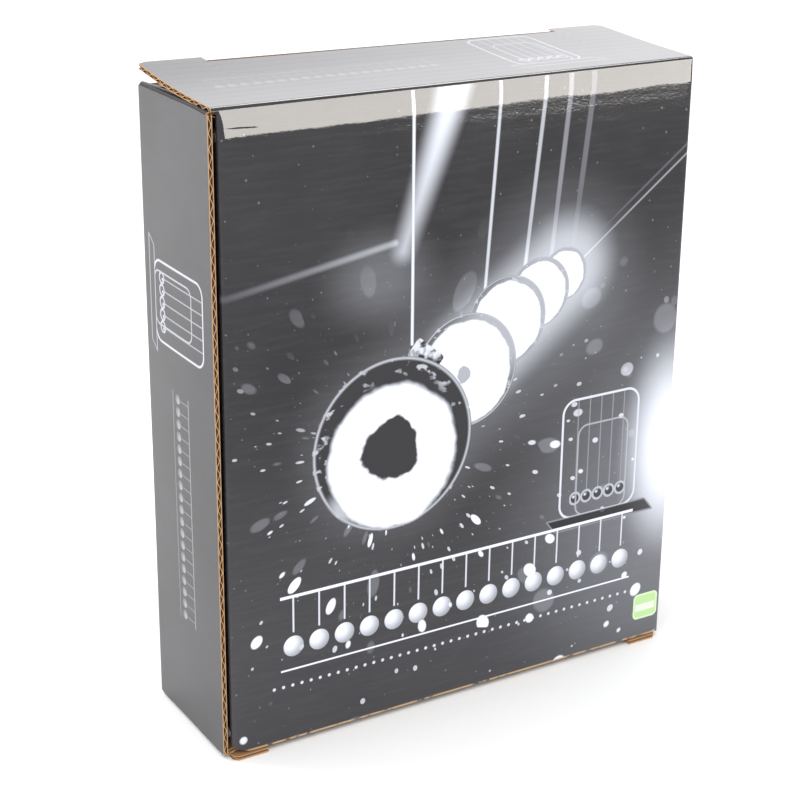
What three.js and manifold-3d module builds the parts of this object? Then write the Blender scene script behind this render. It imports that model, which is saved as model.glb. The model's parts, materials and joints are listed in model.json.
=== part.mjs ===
// A Newton's cradle as it is sold: a knocked-down 18 cm cradle standing in its slim printed carton.
//
// The carton is a reverse-tuck tube of single-wall corrugated board with its glued seam at the
// front-left corner. The top lid is hinged on the front panel and stands ajar, and the bottom lid
// is hinged on the back panel. Each lid ends in a tuck flap and closes over two dust flaps.
// Inside, a foam rail and two foam corner blocks hold the two bent-rod arches and the base plate.
// The five balls hang between the arches on V-shaped lines, ready to be plugged into the base.
//
// Millimetres, +X to the right, +Y to the back, +Z up. The origin is the centre of the footprint.

import * as THREE from 'three';
import { mergeVertices } from 'three/addons/utils/BufferGeometryUtils.js';
import Module from 'manifold-3d';

// ---- driving dimensions: carton ----
const WIDTH = 182;
const DEPTH = 55;
const HEIGHT = 220;
const BOARD = 1.7;
const GAP = 0.3;
const AJAR = THREE.MathUtils.degToRad(4.3);
const SEAM_SETBACK = 1.2;
const GLUE_TAB_DEPTH = 16;
const GLUE_TAB_END = 10;
const GLUE_TAB_TAPER = 8;

// ---- driving dimensions: lids and flaps ----
const TUCK_HEIGHT = 13;
const TUCK_TILT = THREE.MathUtils.degToRad(12);
const TUCK_ROOT_GAP = 0.7;
const TUCK_CORNER = 7;
const LID_CREASE = 52.9;
const LID_TIP = 54.8;
const LID_TIP_CORNER = 1.5;
const TOP_SHOULDER = 23;
const BOTTOM_SHOULDER = 15;
const DUST_LENGTH = 43;
const DUST_DROP = 0.5;
const DUST_ROOT = 0.2;
const DUST_FAR_GAP = 0.5;
const DUST_TAPER = THREE.MathUtils.degToRad(21);
const DUST_EDGE = 3;
const DUST_TUCK_ROOM = 7.5;
const DUST_CORNER = 5;
const DUST_STEP = 12;
const DUST_STEP_SLANT = 5;

// ---- driving dimensions: cradle ----
const BALL_RADIUS = 10;
const BALL_PITCH = 20.3;
const BALL_COUNT = 5;
const ROD_RADIUS = 3;
const ARCH_WIDTH = 137;
const ARCH_LENGTH = 186;
const ARCH_BEND = 22;
const ARCH_SPACING_BUILT = 100;
const ARCH_SPACING_PACKED = 27;
const BUILT_DROP = 129;
const EYELET_RADIUS = 1.6;
const EYELET_BORE = 0.75;
const EYELET_LENGTH = 5;
const EYELET_LIFT = 12;
const LINE_RADIUS = 0.3;
const COLLAR_RADIUS = 4.2;
const COLLAR_WIDTH = 3;
const BASE_WIDTH = 168;
const BASE_DEPTH = 140;
const BASE_THICKNESS = 14;
const BASE_BEVEL = 5;
const SOCKET_RADIUS = 3.3;
const SOCKET_DEPTH = 12;
const FOOT_RADIUS = 6;
const FOOT_DRAFT = 0.6;
const FOOT_THICKNESS = 1.6;
const FOOT_INSET = 13;

// ---- driving dimensions: packing ----
const LEG_BOTTOM = 20;
const FRONT_ARCH_Y = -21.5;
const BASE_BOTTOM = 18;
const BASE_BACK = 23.3;
const FOAM_HALF_WIDTH = 86.9;
const FOAM_HALF_DEPTH = 25.4;
const RAIL_TOP = 36;
const BLOCK_WIDTH = 29;
const BLOCK_BOTTOM = 150;
const BLOCK_TOP = 211;
const TUCK_REBATE_DEPTH = 6;
const TUCK_REBATE_HEIGHT = 17;
const TUCK_REBATE_SPARE = 3;

// ---- positions that follow from them ----
const halfWidth = WIDTH / 2;
const halfDepth = DEPTH / 2;
const innerHalfDepth = halfDepth - BOARD;
const wallBottom = BOARD + GAP;
const wallTop = HEIGHT - wallBottom;
const dustFace = wallBottom + DUST_DROP - GAP;
const sideBottom = dustFace + BOARD + GAP;
const sideTop = HEIGHT - sideBottom;
const rearArchY = FRONT_ARCH_Y + ARCH_SPACING_PACKED;
const ballY = (FRONT_ARCH_Y + rearArchY) / 2;
const barHeight = LEG_BOTTOM + ARCH_LENGTH - ROD_RADIUS;
const swingHeight = barHeight - COLLAR_RADIUS;
const lineReachBuilt = (ARCH_SPACING_BUILT - EYELET_LENGTH) / 2;
const lineReachPacked = (ARCH_SPACING_PACKED - EYELET_LENGTH) / 2;
const packedDrop = Math.sqrt(BUILT_DROP ** 2 + lineReachBuilt ** 2 - lineReachPacked ** 2);
const eyeletHeight = swingHeight - packedDrop;
const ballHeight = eyeletHeight - EYELET_LIFT;
const baseFront = BASE_BACK - BASE_THICKNESS;
const legX = ARCH_WIDTH / 2;

// ---- materials ----
const material = (color, roughness, metalness = 0) =>
  new THREE.MeshStandardMaterial({ color, roughness, metalness });

const printedBoard = material(0x35343a, 0.25);
const innerBoard = material(0xb08358, 0.9);
const chrome = material(0xd8dade, 0.08, 1);
const blackLacquer = material(0x141416, 0.2);
const nylon = material(0xe6e9ee, 0.3);
const blackPlastic = material(0x1d1d1f, 0.5);
const rubber = material(0x2a2a2a, 0.9);
const foam = material(0xf4f4f2, 0.95);

// ---- solid helpers ----
const wasm = await Module();
wasm.setup();

function toSolid(geometry) {
  const bare = geometry.clone();
  bare.deleteAttribute('normal');
  bare.deleteAttribute('uv');
  const merged = mergeVertices(bare);
  return new wasm.Manifold(
    new wasm.Mesh({
      numProp: 3,
      vertProperties: new Float32Array(merged.attributes.position.array),
      triVerts: new Uint32Array(merged.index.array),
    }),
  );
}

function toGeometry(solid) {
  const mesh = solid.getMesh();
  const geometry = new THREE.BufferGeometry();
  geometry.setAttribute('position', new THREE.BufferAttribute(mesh.vertProperties, 3));
  geometry.setIndex(new THREE.BufferAttribute(mesh.triVerts, 1));
  return geometry.toNonIndexed();
}

function cut(geometry, ...tools) {
  return toGeometry(tools.reduce((solid, tool) => solid.subtract(toSolid(tool)), toSolid(geometry)));
}

function join(...pieces) {
  return toGeometry(pieces.map(toSolid).reduce((solid, piece) => solid.add(piece)));
}

function block([x0, x1], [y0, y1], [z0, z1]) {
  const geometry = new THREE.BoxGeometry(x1 - x0, y1 - y0, z1 - z0);
  return geometry.translate((x0 + x1) / 2, (y0 + y1) / 2, (z0 + z1) / 2);
}

// An outline in X and Y, extruded from zBottom up by thickness.
function plate(points, zBottom, thickness) {
  const shape = new THREE.Shape(points.map(([x, y]) => new THREE.Vector2(x, y)));
  const geometry = new THREE.ExtrudeGeometry(shape, { depth: thickness, bevelEnabled: false });
  return geometry.translate(0, 0, zBottom);
}

// A cylinder between two points.
function rod(from, to, radius, sides) {
  const axis = new THREE.Vector3().subVectors(to, from);
  const geometry = new THREE.CylinderGeometry(radius, radius, axis.length(), sides);
  const up = new THREE.Vector3(0, 1, 0);
  const turn = new THREE.Quaternion().setFromUnitVectors(up, axis.clone().normalize());
  const middle = new THREE.Vector3().addVectors(from, to).multiplyScalar(0.5);
  return geometry.applyQuaternion(turn).translate(middle.x, middle.y, middle.z);
}

// A ring about the Y axis: a lathe profile that closes on itself.
function ring(innerRadius, outerRadius, length, sides) {
  const corners = [
    [innerRadius, -length / 2],
    [outerRadius, -length / 2],
    [outerRadius, length / 2],
    [innerRadius, length / 2],
    [innerRadius, -length / 2],
  ];
  return new THREE.LatheGeometry(corners.map(([r, y]) => new THREE.Vector2(r, y)), sides);
}

function named(name, geometry, finish) {
  const mesh = new THREE.Mesh(geometry, finish);
  mesh.name = name;
  return mesh;
}

// ---- carton body ----
function cartonBody() {
  const group = new THREE.Group();
  const seam = -halfWidth + BOARD + GAP;
  const across = [seam, halfWidth - BOARD - GAP];
  const walls = {
    front_panel: block(across, [-halfDepth, -innerHalfDepth], [wallBottom, wallTop]),
    back_panel: block(across, [innerHalfDepth, halfDepth], [wallBottom, wallTop]),
    left_panel: block(
      [-halfWidth, -halfWidth + BOARD],
      [-halfDepth + SEAM_SETBACK, halfDepth],
      [sideBottom, sideTop],
    ),
    right_panel: block([halfWidth - BOARD, halfWidth], [-halfDepth, halfDepth], [sideBottom, sideTop]),
  };
  for (const [name, geometry] of Object.entries(walls)) group.add(named(name, geometry, printedBoard));
  group.add(named('glue_tab', glueTab(seam), innerBoard));
  return group;
}

// The tab runs up the inside of the left panel, with tapered ends.
function glueTab(seam) {
  const near = -innerHalfDepth + GAP;
  const far = near + GLUE_TAB_DEPTH;
  const outline = [
    [near, GLUE_TAB_END],
    [far, GLUE_TAB_END + GLUE_TAB_TAPER],
    [far, HEIGHT - GLUE_TAB_END - GLUE_TAB_TAPER],
    [near, HEIGHT - GLUE_TAB_END],
  ];
  // The plate is drawn flat and then stood up, so that its X becomes Y and its Y becomes Z.
  const stand = new THREE.Matrix4().makeBasis(
    new THREE.Vector3(0, 1, 0),
    new THREE.Vector3(0, 0, 1),
    new THREE.Vector3(1, 0, 0),
  );
  return plate(outline, 0, BOARD).applyMatrix4(stand).translate(seam, 0, 0);
}

// ---- lids ----
// Local frame of a closure: the hinge line is the X axis at the lid's outer face, +Y crosses the
// carton's depth and +Z points out of the carton.
function lidGeometry(shoulder) {
  const crease = halfWidth - shoulder;
  const outline = [
    [-halfWidth, GAP],
    [halfWidth, GAP],
    [halfWidth, LID_TIP - LID_TIP_CORNER],
    [halfWidth - LID_TIP_CORNER, LID_TIP],
    [crease + GAP, LID_TIP],
    [crease + GAP, LID_CREASE],
    [-crease - GAP, LID_CREASE],
    [-crease - GAP, LID_TIP],
    [-halfWidth + LID_TIP_CORNER, LID_TIP],
    [-halfWidth, LID_TIP - LID_TIP_CORNER],
  ];
  return plate(outline, -BOARD, BOARD);
}

// The tuck flap hangs from the lid's far crease, turned inwards by TUCK_TILT.
function tuckFlapGeometry(shoulder) {
  const halfLength = halfWidth - shoulder;
  const root = -BOARD - TUCK_ROOT_GAP;
  const tip = root - TUCK_HEIGHT;
  const shape = new THREE.Shape();
  shape.moveTo(-halfLength, root);
  shape.lineTo(-halfLength, tip + TUCK_CORNER);
  shape.quadraticCurveTo(-halfLength, tip, -halfLength + TUCK_CORNER, tip);
  shape.lineTo(halfLength - TUCK_CORNER, tip);
  shape.quadraticCurveTo(halfLength, tip, halfLength, tip + TUCK_CORNER);
  shape.lineTo(halfLength, root);
  const flap = new THREE.ExtrudeGeometry(shape, { depth: BOARD, bevelEnabled: false, curveSegments: 5 });
  return flap.rotateX(Math.PI / 2).rotateX(-TUCK_TILT);
}

// A dust flap reaches from its side wall at x = 0 towards +X. The edge by the lid's hinge tapers, so
// that the flap can rise under the opening lid, and the far edge leaves room for the tuck flap.
function dustFlapGeometry() {
  const hingeEdge = DUST_EDGE;
  const farEdge = DEPTH - BOARD - GAP - DUST_FAR_GAP;
  const tip = DUST_LENGTH;
  const taperEnd = hingeEdge + tip * Math.tan(DUST_TAPER);
  const outline = [
    [DUST_ROOT, hingeEdge],
    [tip - DUST_CORNER, taperEnd - DUST_CORNER * Math.tan(DUST_TAPER)],
    [tip, taperEnd + DUST_CORNER],
    [tip, farEdge - DUST_TUCK_ROOM - DUST_CORNER],
    [tip - DUST_CORNER, farEdge - DUST_TUCK_ROOM],
    [DUST_STEP, farEdge - DUST_TUCK_ROOM],
    [DUST_STEP - DUST_STEP_SLANT, farEdge],
    [DUST_ROOT, farEdge],
  ];
  return plate(outline, -BOARD, BOARD);
}

function closure(end, shoulder, ajar) {
  const group = new THREE.Group();
  const lid = new THREE.Group();
  lid.rotation.x = ajar;
  lid.add(named(`${end}_lid`, lidGeometry(shoulder), printedBoard));
  const tuck = named(`${end}_tuck_flap`, tuckFlapGeometry(shoulder), printedBoard);
  tuck.position.y = LID_CREASE;
  lid.add(tuck);
  group.add(lid);
  for (const [side, sign] of [['left', -1], ['right', 1]]) {
    const flap = new THREE.Group();
    flap.position.set(sign * halfWidth, 0, -dustFace);
    flap.scale.x = -sign;
    flap.add(named(`${end}_${side}_dust_flap`, dustFlapGeometry(), printedBoard));
    group.add(flap);
  }
  return group;
}

function topClosure() {
  const group = closure('top', TOP_SHOULDER, AJAR);
  group.position.set(0, -halfDepth, HEIGHT);
  return group;
}

function bottomClosure() {
  const group = closure('bottom', BOTTOM_SHOULDER, 0);
  group.position.set(0, halfDepth, 0);
  group.rotation.x = Math.PI;
  return group;
}

// ---- foam packing ----
// A pocket is as wide as a leg. The front pair opens to the front, and the rear pair to the base plate.
function legPocket(xRange, front, bottom) {
  const [from, to] = front
    ? [-DEPTH, FRONT_ARCH_Y + ROD_RADIUS + GAP]
    : [rearArchY - ROD_RADIUS - GAP, baseFront - GAP];
  return block(xRange, [from, to], [bottom, HEIGHT]);
}

// The rail has four leg pockets and a step at the back that the base plate stands on.
function foamRail() {
  const body = block(
    [-FOAM_HALF_WIDTH, FOAM_HALF_WIDTH],
    [-FOAM_HALF_DEPTH, FOAM_HALF_DEPTH],
    [sideBottom, RAIL_TOP],
  );
  const tools = [
    block([-WIDTH, WIDTH], [baseFront - GAP, DEPTH], [BASE_BOTTOM - GAP, HEIGHT]),
    block([-WIDTH, WIDTH], [-DEPTH, -FOAM_HALF_DEPTH + TUCK_REBATE_DEPTH], [0, TUCK_REBATE_HEIGHT]),
  ];
  for (const x of [-legX, legX])
    for (const front of [true, false])
      tools.push(legPocket([x - ROD_RADIUS - GAP, x + ROD_RADIUS + GAP], front, LEG_BOTTOM - GAP));
  return cut(body, ...tools);
}

// A corner block holds both arches in open grooves and the top corner of the base plate in a notch.
function foamBlock(sign) {
  const outer = FOAM_HALF_WIDTH;
  const inner = outer - BLOCK_WIDTH;
  const across = (from, to) => [Math.min(sign * from, sign * to), Math.max(sign * from, sign * to)];
  const body = block(across(inner, outer), [-FOAM_HALF_DEPTH, FOAM_HALF_DEPTH], [BLOCK_BOTTOM, BLOCK_TOP]);
  const archRange = across(inner - 1, legX + ROD_RADIUS + GAP);
  const baseTop = BASE_BOTTOM + BASE_DEPTH;
  const notch = block(
    across(inner - 1, BASE_WIDTH / 2 + GAP),
    [baseFront - GAP, DEPTH],
    [BLOCK_BOTTOM - 1, baseTop + GAP],
  );
  const tuckRoom = block(
    across(0, WIDTH),
    [FOAM_HALF_DEPTH - TUCK_REBATE_DEPTH, DEPTH],
    [HEIGHT - TUCK_REBATE_HEIGHT - TUCK_REBATE_SPARE, HEIGHT],
  );
  const grooves = [true, false].map((front) => legPocket(archRange, front, BLOCK_BOTTOM - 1));
  return cut(body, ...grooves, notch, tuckRoom);
}

function packing() {
  const group = new THREE.Group();
  group.add(named('foam_bottom_rail', foamRail(), foam));
  group.add(named('foam_top_left_block', foamBlock(-1), foam));
  group.add(named('foam_top_right_block', foamBlock(1), foam));
  return group;
}

// ---- base plate ----
// Built lying flat with its top face up at z = BASE_THICKNESS, and then stood on its long edge
// with the top face towards the arches.
function basePlateGeometry() {
  const halfX = BASE_WIDTH / 2;
  const halfY = BASE_DEPTH / 2;
  const bevelled = new THREE.CylinderGeometry(1, 1, BASE_THICKNESS, 4, 1);
  const corners = bevelled.rotateY(Math.PI / 4).rotateX(Math.PI / 2).attributes.position;
  for (let i = 0; i < corners.count; i++) {
    const top = corners.getZ(i) > 0;
    const inset = top ? BASE_BEVEL : 0;
    const scale = (value, half) => (Math.abs(value) < 1e-6 ? 0 : Math.sign(value) * (half - inset));
    corners.setXYZ(
      i,
      scale(corners.getX(i), halfX),
      scale(corners.getY(i), halfY),
      top ? BASE_THICKNESS : 0,
    );
  }
  const sockets = [];
  for (const x of [-legX, legX])
    for (const y of [-ARCH_SPACING_BUILT / 2, ARCH_SPACING_BUILT / 2])
      sockets.push(
        rod(
          new THREE.Vector3(x, y, BASE_THICKNESS - SOCKET_DEPTH),
          new THREE.Vector3(x, y, BASE_THICKNESS + 1),
          SOCKET_RADIUS,
          16,
        ),
      );
  return cut(bevelled, ...sockets);
}

function footGeometry() {
  const foot = new THREE.CylinderGeometry(FOOT_RADIUS, FOOT_RADIUS - FOOT_DRAFT, FOOT_THICKNESS, 20);
  return foot.rotateX(Math.PI / 2);
}

function base() {
  const group = new THREE.Group();
  group.add(named('base_plate', basePlateGeometry(), blackLacquer));
  const spots = [
    ['front_left', -1, -1],
    ['front_right', 1, -1],
    ['back_left', -1, 1],
    ['back_right', 1, 1],
  ];
  for (const [place, signX, signY] of spots) {
    const foot = named(`base_foot_${place}`, footGeometry(), rubber);
    foot.position.set(
      signX * (BASE_WIDTH / 2 - FOOT_INSET),
      signY * (BASE_DEPTH / 2 - FOOT_INSET),
      -FOOT_THICKNESS / 2 - GAP / 3,
    );
    group.add(foot);
  }
  group.rotation.x = Math.PI / 2;
  group.position.set(0, BASE_BACK, BASE_BOTTOM + BASE_DEPTH / 2);
  return group;
}

// ---- arches ----
// The centreline of an arch: up the left leg, round the bend, along the bar and down again.
class ArchLine extends THREE.Curve {
  constructor() {
    super();
    this.leg = ARCH_LENGTH - ROD_RADIUS - ARCH_BEND;
    this.bend = (Math.PI / 2) * ARCH_BEND;
    this.bar = ARCH_WIDTH - 2 * ARCH_BEND;
  }

  getPoint(t, target = new THREE.Vector3()) {
    const half = this.leg + this.bend + this.bar / 2;
    const along = t * 2 * half;
    const side = along < half ? -1 : 1;
    const s = along < half ? along : 2 * half - along;
    const centreX = ARCH_WIDTH / 2 - ARCH_BEND;
    if (s < this.leg) return target.set(side * (ARCH_WIDTH / 2), 0, s);
    if (s > this.leg + this.bend) {
      return target.set(side * (centreX - (s - this.leg - this.bend)), 0, this.leg + ARCH_BEND);
    }
    const angle = (s - this.leg) / ARCH_BEND;
    return target.set(
      side * (centreX + ARCH_BEND * Math.cos(angle)),
      0,
      this.leg + ARCH_BEND * Math.sin(angle),
    );
  }
}

function archGeometry() {
  const section = new THREE.Shape().absarc(0, 0, ROD_RADIUS, 0, Math.PI * 2);
  return new THREE.ExtrudeGeometry(section, {
    extrudePath: new ArchLine(),
    steps: 66,
    curveSegments: 12,
    bevelEnabled: false,
  });
}

const ballPlaces = Array.from({ length: BALL_COUNT }, (_, i) => (i - (BALL_COUNT - 1) / 2) * BALL_PITCH);

function arch(name, y) {
  const group = new THREE.Group();
  const rodMesh = named(`${name}_arch`, archGeometry(), chrome);
  rodMesh.position.z = LEG_BOTTOM;
  group.add(rodMesh);
  ballPlaces.forEach((x, i) => {
    const collar = named(
      `${name}_collar_${i + 1}`,
      ring(ROD_RADIUS + GAP, COLLAR_RADIUS, COLLAR_WIDTH, 16),
      blackPlastic,
    );
    collar.rotation.z = Math.PI / 2;
    collar.position.set(x, 0, barHeight);
    group.add(collar);
  });
  group.position.y = y;
  return group;
}

// ---- balls on their lines ----
// The line hangs from the front collar, passes through the eyelet and climbs to the rear collar.
function lineGeometry() {
  const start = -2 * GAP / 3;
  const mouth = EYELET_LENGTH / 2 + GAP;
  const drop = -packedDrop;
  const points = [
    [-ARCH_SPACING_PACKED / 2, start],
    [-mouth, drop],
    [mouth, drop],
    [ARCH_SPACING_PACKED / 2, start],
  ].map(([y, z]) => new THREE.Vector3(0, y, z));
  const pieces = points.slice(1).map((point, i) => rod(points[i], point, LINE_RADIUS, 8));
  for (const point of points.slice(1, 3)) {
    pieces.push(new THREE.IcosahedronGeometry(LINE_RADIUS, 1).translate(point.x, point.y, point.z));
  }
  return join(...pieces);
}

function hangingBall(number, x) {
  const group = new THREE.Group();
  const ball = named(`ball_${number}`, new THREE.SphereGeometry(BALL_RADIUS, 22, 14), chrome);
  ball.position.z = ballHeight - swingHeight;
  const eyelet = named(`eyelet_${number}`, ring(EYELET_BORE, EYELET_RADIUS, EYELET_LENGTH, 12), chrome);
  eyelet.position.z = -packedDrop;
  const line = named(`line_${number}`, lineGeometry(), nylon);
  group.add(ball, eyelet, line);
  group.position.set(x, ballY, swingHeight);
  return group;
}

// ---- the whole part ----
const part = new THREE.Group();
part.add(cartonBody(), topClosure(), bottomClosure(), packing(), base());
part.add(arch('front', FRONT_ARCH_Y), arch('rear', rearArchY));
ballPlaces.forEach((x, i) => part.add(hangingBall(i + 1, x)));

export default part;
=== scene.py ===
import json
from functools import lru_cache
from math import asin, atan, atan2, cos, exp, hypot, pi, radians, sin, sqrt, tan

import bmesh
import bpy
from mathutils import Matrix, Vector, noise


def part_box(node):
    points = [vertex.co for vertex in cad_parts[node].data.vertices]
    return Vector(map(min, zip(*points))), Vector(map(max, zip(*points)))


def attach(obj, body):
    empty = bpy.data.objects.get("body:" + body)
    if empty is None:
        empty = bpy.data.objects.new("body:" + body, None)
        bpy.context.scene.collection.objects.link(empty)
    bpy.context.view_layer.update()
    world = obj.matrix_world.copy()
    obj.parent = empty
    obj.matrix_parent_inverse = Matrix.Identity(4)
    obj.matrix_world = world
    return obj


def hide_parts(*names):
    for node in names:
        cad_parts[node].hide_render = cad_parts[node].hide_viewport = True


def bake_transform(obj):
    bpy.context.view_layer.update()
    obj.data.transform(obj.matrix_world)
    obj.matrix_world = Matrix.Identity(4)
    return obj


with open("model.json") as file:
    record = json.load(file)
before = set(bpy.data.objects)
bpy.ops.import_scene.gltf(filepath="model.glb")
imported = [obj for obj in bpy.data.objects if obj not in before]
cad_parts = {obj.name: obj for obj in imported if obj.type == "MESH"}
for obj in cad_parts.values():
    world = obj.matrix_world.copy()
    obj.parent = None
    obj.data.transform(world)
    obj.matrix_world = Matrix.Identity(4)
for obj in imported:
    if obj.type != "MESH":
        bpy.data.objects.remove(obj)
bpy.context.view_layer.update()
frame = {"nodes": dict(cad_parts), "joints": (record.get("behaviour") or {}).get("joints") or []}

MM = 0.001
HINGES = {joint["name"]: Vector(joint["pos_m"]) / MM for joint in frame["joints"]}


def cad(node):
    """The lowest and highest corner of a CAD node, in millimetres."""
    low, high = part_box(node)
    return low / MM, high / MM


# ---- the carton's sizes, in millimetres, from the frame ----
LEFT, RIGHT = cad("left_panel")[0].x, cad("right_panel")[1].x
FRONT, BACK = cad("front_panel")[0].y, cad("back_panel")[1].y
TOP = HINGES["top_lid_hinge"].z
WIDTH, DEPTH = RIGHT - LEFT, BACK - FRONT
BOARD = cad("back_panel")[1].y - cad("back_panel")[0].y
SEAM = cad("glue_tab")[0].x
TAB_END = cad("glue_tab")[1].y
LEFT_RAW_EDGE = cad("left_panel")[0].y
FRONT_BOTTOM, BACK_TOP = cad("front_panel")[0].z, cad("back_panel")[1].z
DUST_FACE = TOP - HINGES["top_left_dust_crease"].z
LID_CREASE = HINGES["bottom_lid_hinge"].y - HINGES["bottom_tuck_crease"].y
LID_TIP = HINGES["bottom_lid_hinge"].y - cad("bottom_lid")[0].y
LID_AJAR = atan2(HINGES["top_tuck_crease"].z - TOP, HINGES["top_tuck_crease"].y - FRONT)
TUCK_REACH = cad("bottom_tuck_flap")[1].z
DUST_REACH = cad("bottom_left_dust_flap")[1].x - LEFT

# ---- how the board is made and folded ----
OUTER_LINER = 0.32
INNER_LINER = 0.26
MEDIUM = 0.26
# About 45 flutes stand over the carton's height in the photo, which is coarse for so thin a board.
FLUTE_PITCH = 4.86
FLUTE_STEPS = 12
BEND_RADIUS = 1.9
SIDE_BEND = 1.1
TWIST = radians(1.0)
LID_SAG = 0.5
TUCK_TURN = radians(102)
TUCK_CORNER = 7
DUST_TAPER = radians(21)
DUST_CORNER = 5
DUST_NOTCH = 7.5
SLIT = 0.3
TIP_CORNER = 1.5
BOTTOM_TIP_REACH = 1.1
TAB_TAPER = 8
TAPER_ROOT = 1
NOTCH_REACH, NOTCH_SLOPE = 11, 5
TUCK_TIP_GAP = 1.5
TOP_LID_INSET, BOTTOM_LID_INSET = 0.3, 2.0

# ---- how the front panel is strained by its folds ----
ROLL_HEIGHT = 9.2
ROLL_START = radians(3.0)
ROLL_END = radians(12)
ROLL_TOP = 0.9
CRUSH = 0.6
BULGE = 0.7
SIDE_BOW = 0.5
WASHBOARD = 0.003
STRAINED_TOP = 14
CORNER_ROUNDING = 3.2

# ---- how the side panels sit in their folds ----
SEAM_SPRING = 0.9
SEAM_OPENS = 0.7
SIDE_HUMP = {
    ("top", "left"): 1.6,
    ("top", "right"): 0.5,
    ("bottom", "left"): 1.5,
    ("bottom", "right"): 1.0,
}
HUMP_DIP = radians(20)
HUMP_FRONT_SHARE = 0.7
HUMP_SETTLES = 14
LEVEL_OFF = 8

ARCH_BEND = 22
COLLAR_ROUNDING, COLLAR_PLAY = 0.6, 0.05
STEM_RADIUS = 0.8
EYELET_BORE, EYELET_ROUNDING = 0.75, 0.35
SOCKET_RADIUS, SOCKET_DEPTH = 3.3, 12
SOCKET_SPACING = 100
BASE_BEVEL = 5
BASE_CORNER = 4
FOAM_ROUNDING = 0.7

# ---- the studio, in metres: the camera stands where the carton's corners in the photo put it ----
CAMERA_PLACE = (-0.3268, -0.5215, 0.3338)
CAMERA_AHEAD = (0.48772, 0.79945, -0.35072)
CAMERA_RIGHT = (0.85556, -0.51761, 0.00987)
LENS = 84.505
FLOOR_REACH = 6.0


# ---- meshes ----
def clamp(value):
    return min(max(value, 0.0), 1.0)


def smooth_step(value):
    value = clamp(value)
    return value * value * (3 - 2 * value)


def spread(start, stop, count):
    """count + 1 numbers evenly from start to stop."""
    return [start + (stop - start) * i / count for i in range(count + 1)]


def wobble(x, y, size, seed=0):
    """Smooth noise from -1 to 1, with features about as wide as size."""
    return noise.noise(Vector((x / size, y / size, seed + 0.5)))


class Patchwork:
    """Closed sheets gathered into one mesh, each face with its own material."""

    def __init__(self):
        self.points, self.faces, self.slots = [], [], []

    def _face(self, corners, slot):
        self.faces.append(corners)
        self.slots.append(slot)

    def sheet(self, columns, rows, span, place, depths, slots):
        """A closed sheet on a grid. Column u runs from span(u)[0] to span(u)[1] in the steps of rows,
        which go from 0 to 1. depths are its two faces, as numbers or as functions of u and v, and
        slots the materials of the near face, the far face and the edge."""
        start, across, along = len(self.points), len(columns), len(rows)
        for depth in depths:
            for u in columns:
                low, high = span(u)
                for t in rows:
                    v = low + (high - low) * t
                    self.points.append(place(u, v, depth(u, v) if callable(depth) else depth))

        def at(layer, i, j):
            return start + (layer * across + i) * along + j

        near, far, edge = slots
        for i in range(across - 1):
            for j in range(along - 1):
                self._face((at(0, i, j), at(0, i + 1, j), at(0, i + 1, j + 1), at(0, i, j + 1)), near)
                self._face((at(1, i, j), at(1, i, j + 1), at(1, i + 1, j + 1), at(1, i + 1, j)), far)
        for j in range(along - 1):
            for i in (0, across - 1):
                self._face((at(0, i, j), at(0, i, j + 1), at(1, i, j + 1), at(1, i, j)), edge)
        for i in range(across - 1):
            for j in (0, along - 1):
                self._face((at(0, i + 1, j), at(0, i, j), at(1, i, j), at(1, i + 1, j)), edge)

    def finish(self, name, materials):
        mesh = bpy.data.meshes.new(name)
        mesh.from_pydata([Vector(p) * MM for p in self.points], [], self.faces)
        for material in materials:
            mesh.materials.append(material)
        mesh.polygons.foreach_set("material_index", self.slots)
        return finish_mesh(name, mesh)


def finish_mesh(name, mesh, sharp_above=35):
    """Turns the mesh's faces outwards, shades it smooth between sharp edges and puts it in the scene."""
    work = bmesh.new()
    work.from_mesh(mesh)
    bmesh.ops.remove_doubles(work, verts=work.verts, dist=1e-6)
    bmesh.ops.recalc_face_normals(work, faces=work.faces)
    work.to_mesh(mesh)
    work.free()
    mesh.polygons.foreach_set("use_smooth", [True] * len(mesh.polygons))
    mesh.set_sharp_from_angle(angle=radians(sharp_above))
    piece = bpy.data.objects.new(name, mesh)
    bpy.context.scene.collection.objects.link(piece)
    return piece


# ---- materials, written as formulas ----
class Field:
    """A number that varies over a surface. Arithmetic on it adds nodes to its material."""

    def __init__(self, paint, socket):
        self.paint, self.socket = paint, socket

    def math(self, operation, *others):
        node = self.paint.node("ShaderNodeMath", operation=operation)
        for socket, value in zip(node.inputs, (self, *others)):
            self.paint.feed(socket, value)
        return Field(self.paint, node.outputs[0])

    def __add__(self, other):
        return self.math("ADD", other)

    def __sub__(self, other):
        return self.math("SUBTRACT", other)

    def __mul__(self, other):
        return self.math("MULTIPLY", other)

    def __rsub__(self, other):
        return self * -1 + other

    def __abs__(self):
        return self.math("ABSOLUTE")

    __radd__, __rmul__ = __add__, __mul__

    def least(self, other):
        return self.math("MINIMUM", other)

    def most(self, other):
        return self.math("MAXIMUM", other)

    def fade(self, start, stop):
        """0 before start and 1 after stop, with a smooth step between them. stop may come first."""
        node = self.paint.node("ShaderNodeMapRange", interpolation_type="SMOOTHSTEP")
        for socket, value in zip(node.inputs, (self, start, stop)):
            self.paint.feed(socket, value)
        return Field(self.paint, node.outputs[0])

    def over(self, other, mask):
        """This field where mask is 1, and other where it is 0."""
        return other + (self - other) * mask


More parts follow.
